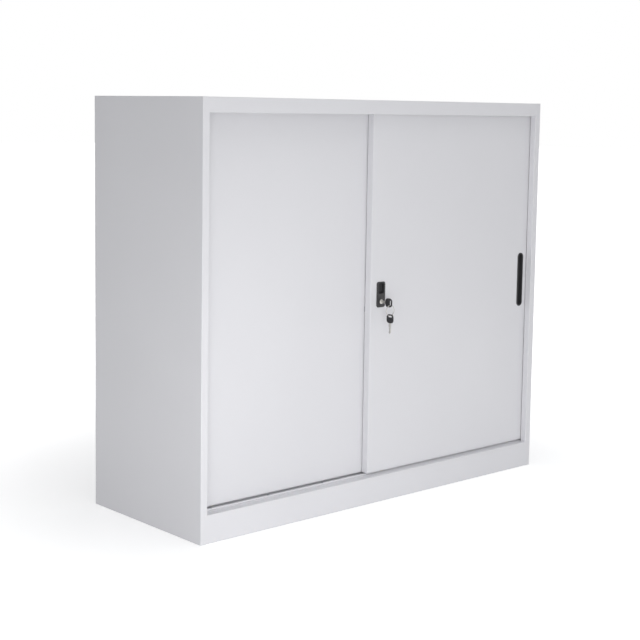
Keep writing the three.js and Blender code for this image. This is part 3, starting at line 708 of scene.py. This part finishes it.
# From the side face: round the axle's bore, at the web and at the rim
ROLLER_HUB = ((2.8, 0.6), (2.8, 0), (4.6, 0), (5.0, 0.5))
ROLLER_WEB = ((-1.6, 0.5), (-1.0, 0))
ROLLER_RIM = ((-0.6, 0), (-0.15, 0.2), (0, 0.6))

# From the middle of the tread: the lip and the corner of its groove
TREAD_LIP = ((0, -2.4), (-0.3, -2.1))
TREAD_CORNER = ((0.3, -1.6), (0, -1.2))


def roller(prefix):
    low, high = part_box(f"{prefix}_roller")
    centre = (low + high) / 2
    side = (low.y - high.y) / 2
    rim = (high.x - low.x) / 2
    tread = rim - TREAD_DEPTH
    half = [
        *stations(ROLLER_HUB, 0, side),
        *stations(ROLLER_WEB, tread, side),
        *stations(ROLLER_RIM, rim, side),
        *stations(TREAD_LIP, rim, 0),
        *stations(TREAD_CORNER, tread, 0),
    ]
    mirrored = [(radius, -along) for radius, along in reversed(half)]
    profile = [(radius, centre.y + along) for radius, along in half + mirrored]
    wheel = turned(f"{prefix}_wheel_rim", centre.x, centre.z, profile, closed=True)
    finished(wheel, f"{prefix}_wheel", "nylon", f"{prefix}_roller")


# Screws in the bottom track: radius and rise over the track's base in millimetres, and the cross
TRACK_BASE = 1.25 * MM
TRACK_SCREWS = 7
SCREW_PITCH = 180 * MM
SCREW_STEPS = 28
SCREW_HEAD = ((3.7, -0.4), (3.7, 0.1), (3.4, 0.22), (1.2, 0.3))
CROSS_REACH = 2.2 * MM
CROSS_HALF_WIDTH = 0.35 * MM
CROSS_FLOOR = -0.2 * MM


def screw_head(name, x, y, seat):
    profile = stations(SCREW_HEAD, 0, seat)
    head = loft(name, [ring_z(circle(x, y, radius, SCREW_STEPS), z) for radius, z in profile])
    for half_wide, half_long in ((CROSS_REACH, CROSS_HALF_WIDTH), (CROSS_HALF_WIDTH, CROSS_REACH)):
        arm = rectangle(x, y, half_wide, half_long)
        carve(head, loft("cross_cutter", [ring_z(arm, seat + rise) for rise in (CROSS_FLOOR, OVERRUN)]))
    finished(head, "carcass", "zinc", smooth=25)


def track_screws():
    """Countersunk screws along the bottom track, sunk between its rails."""
    low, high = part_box("bottom_track")
    for i in range(TRACK_SCREWS):
        x = (i - (TRACK_SCREWS - 1) / 2) * SCREW_PITCH
        screw_head(f"track_screw_{i}", x, (low.y + high.y) / 2, low.z + TRACK_BASE)


# Rivets in the keeper: how far in from its end, and the dome's radius and depth in millimetres
KEEPER_STEEL = 1.5 * MM
RIVET_INSETS = (7 * MM, 18 * MM)
RIVET_STEPS = 32
RIVET_DOME = ((2.6, 0.1), (2.6, -0.15), (2.3, -0.45), (1.6, -0.7), (0.7, -0.82))


def keeper_rivets():
    """Two domed rivets through the keeper's foot into the rear door's face."""
    low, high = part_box("keeper")
    z = (low.z + high.z) / 2
    dome = stations(RIVET_DOME, 0, high.y - KEEPER_STEEL)
    for i, inset in enumerate(RIVET_INSETS):
        rivet = turned(f"keeper_rivet_{i}", low.x + inset, z, dome, RIVET_STEPS)
        finished(rivet, "left_door", "zinc")


# Room: the world's own light, and each softbox's place, target, size and power in watts
AMBIENT = 0.4
AMBIENT_COLOUR = (0.97, 0.98, 1, 1)
WHITE = (1, 1, 1, 1)
SOFTBOXES = [
    ("front_softbox", (-2.2, -3.4, 0.55), (-0.2, 0, 0.45), (2.6, 1.1), 27),
    ("top_softbox", (0.4, -0.6, 3.6), (0, 0, 0.5), (3, 3), 34),
    ("left_card", (-0.9, -1.25, 0.04), (-0.3, -0.2, 0.55), (1.6, 0.3), 9.5),
    ("right_card", (0.7, -1.25, 0.04), (0.3, -0.2, 0.55), (1.6, 0.3), 1.2),
    ("side_card", (-1.7, -0.1, 0.04), (-0.6, 0, 0.55), (1.0, 0.3), 1.2),
]

# Floor: a hair under the object, with a painted glow of its own that is weak near the object and rises with
# the distance in metres
FLOOR_REACH = 30
FLOOR_DROP = 0.2 * MM
FLOOR_COLOUR = (0.9, 0.9, 0.9, 1)
FLOOR_ROUGHNESS = 0.9
FLOOR_GLOW_FADE = {"From Min": 0.6, "From Max": 1.9, "To Min": 0.42, "To Max": 1.0}


def combined(tree, operation, first, second):
    node = tree.nodes.new("ShaderNodeMath")
    node.operation = operation
    tree.links.new(first, node.inputs[0])
    tree.links.new(second, node.inputs[1])
    return node.outputs[0]


def seen_or_reflected(tree):
    """One for rays from the camera or a reflection, or through glass, and zero for light itself."""
    path = tree.nodes.new("ShaderNodeLightPath").outputs
    seen = combined(tree, "MAXIMUM", path["Is Camera Ray"], path["Is Glossy Ray"])
    return combined(tree, "MAXIMUM", seen, path["Is Transmission Ray"])


def background(tree, colour, strength):
    node = tree.nodes.new("ShaderNodeBackground")
    node.inputs["Color"].default_value = colour
    node.inputs["Strength"].default_value = strength
    return node.outputs[0]


def studio_world():
    """A plain level of light, and pure white to look at."""
    world = bpy.data.worlds.new("studio")
    scene.world = world
    world.use_nodes = True
    tree = world.node_tree
    tree.nodes.clear()
    mix = tree.nodes.new("ShaderNodeMixShader")
    out = tree.nodes.new("ShaderNodeOutputWorld")
    tree.links.new(seen_or_reflected(tree), mix.inputs[0])
    tree.links.new(background(tree, AMBIENT_COLOUR, AMBIENT), mix.inputs[1])
    tree.links.new(background(tree, WHITE, 1.0), mix.inputs[2])
    tree.links.new(mix.outputs[0], out.inputs["Surface"])


# Strength of the floor's painted glow: low near the object, so the floor there is painted darker, and full
# away from it
def painted_glow_fade(tree):
    where = tree.nodes.new("ShaderNodeTexCoord")
    away = tree.nodes.new("ShaderNodeVectorMath")
    away.operation = "LENGTH"
    tree.links.new(where.outputs["Object"], away.inputs[0])
    fade = tree.nodes.new("ShaderNodeMapRange")
    fade.interpolation_type = "SMOOTHSTEP"
    for socket, value in FLOOR_GLOW_FADE.items():
        fade.inputs[socket].default_value = value
    tree.links.new(away.outputs["Value"], fade.inputs["Value"])
    return fade.outputs["Result"]


def pale_floor():
    """A matt material that takes the object's shadow, with a painted glow that is weak near the object and
    brightens it to white away from it.
    """
    material = bpy.data.materials.new("pale_floor")
    material.use_nodes = True
    tree = material.node_tree
    shader = tree.nodes["Principled BSDF"]
    shader.inputs["Base Color"].default_value = FLOOR_COLOUR
    shader.inputs["Roughness"].default_value = FLOOR_ROUGHNESS
    shader.inputs["Specular IOR Level"].default_value = 0.0
    # Painted glow: the floor shines white for the camera and in reflections, less near the object
    glow = tree.nodes.new("ShaderNodeEmission")
    glow.inputs["Color"].default_value = WHITE
    strength = combined(tree, "MULTIPLY", seen_or_reflected(tree), painted_glow_fade(tree))
    tree.links.new(strength, glow.inputs["Strength"])
    add = tree.nodes.new("ShaderNodeAddShader")
    tree.links.new(shader.outputs[0], add.inputs[0])
    tree.links.new(glow.outputs[0], add.inputs[1])
    tree.links.new(add.outputs[0], tree.nodes["Material Output"].inputs["Surface"])
    return material


def studio_floor():
    mesh = bmesh.new()
    bmesh.ops.create_grid(mesh, x_segments=2, y_segments=2, size=FLOOR_REACH)
    floor = new_object("floor", mesh)
    floor.location.z = cad_low.z - FLOOR_DROP
    floor.data.materials.append(pale_floor())


def softbox(name, place, target, size, watts):
    width, height = size
    data = bpy.data.lights.new(name, "AREA")
    data.shape = "RECTANGLE"
    data.size = width
    data.size_y = height
    data.energy = watts
    light = bpy.data.objects.new(name, data)
    light.location = place
    light.rotation_euler = (Vector(target) - Vector(place)).to_track_quat("-Z", "Y").to_euler()
    light.visible_camera = False
    scene.collection.objects.link(light)


dress_frame()
flush_pull()
lock_housing()
lock_barrel()
lock_plug()
key("key", "key")
key("spare_key", "spare_key", hanging=True)
split_ring()
for gear in ("left_door_outer", "left_door_inner", "right_door_outer", "right_door_inner"):
    roller(gear)
track_screws()
keeper_rivets()
photo_camera()
studio_world()
studio_floor()
for lamp in SOFTBOXES:
    softbox(*lamp)

scene.view_settings.view_transform = "Standard"
